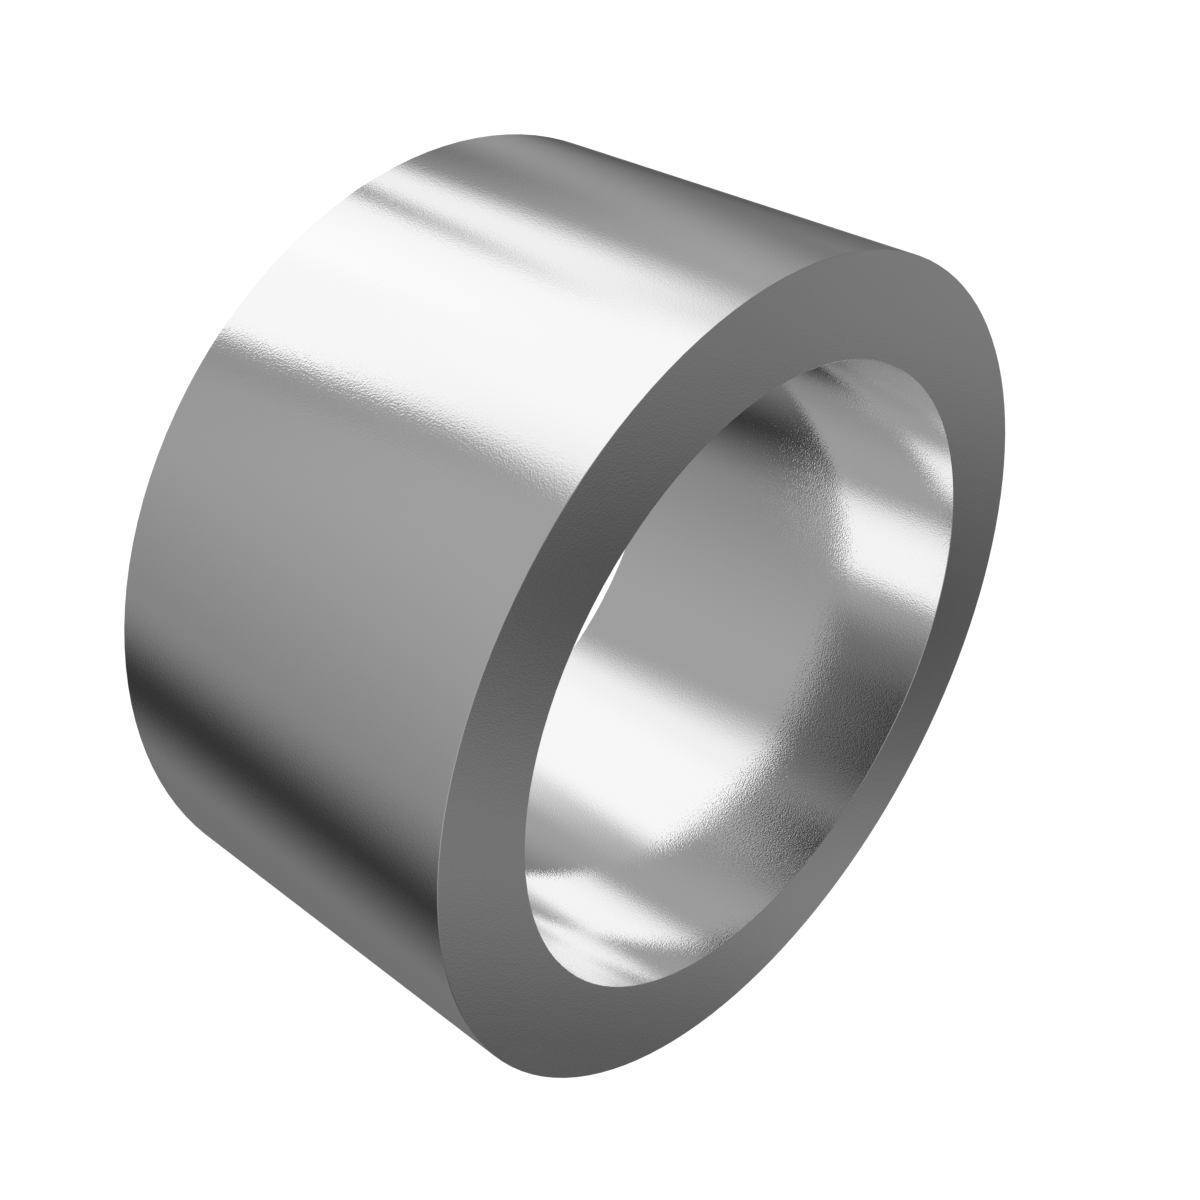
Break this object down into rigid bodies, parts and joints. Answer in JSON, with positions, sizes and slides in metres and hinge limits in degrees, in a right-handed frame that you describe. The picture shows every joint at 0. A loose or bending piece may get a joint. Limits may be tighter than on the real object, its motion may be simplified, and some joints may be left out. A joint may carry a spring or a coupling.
{
  "type": "spacer sleeve",
  "caption": "Short plain cylindrical spacer sleeve with a through bore and two flat end faces, turned in one piece.",
  "frame": {"origin": "centre of the end face that the sleeve stands on", "axes": "+Z along the bore, from the end face that it stands on to the one on top; X and Y are any two directions across it, because it is a body of revolution"},
  "size_m": [0.032, 0.032, 0.016],
  "materials": {
    "satin_steel": "satin, with a very fine even grain"
  },
  "bodies": {
    "root": {"sleeve": "satin_steel"}
  },
  "joints": []
}
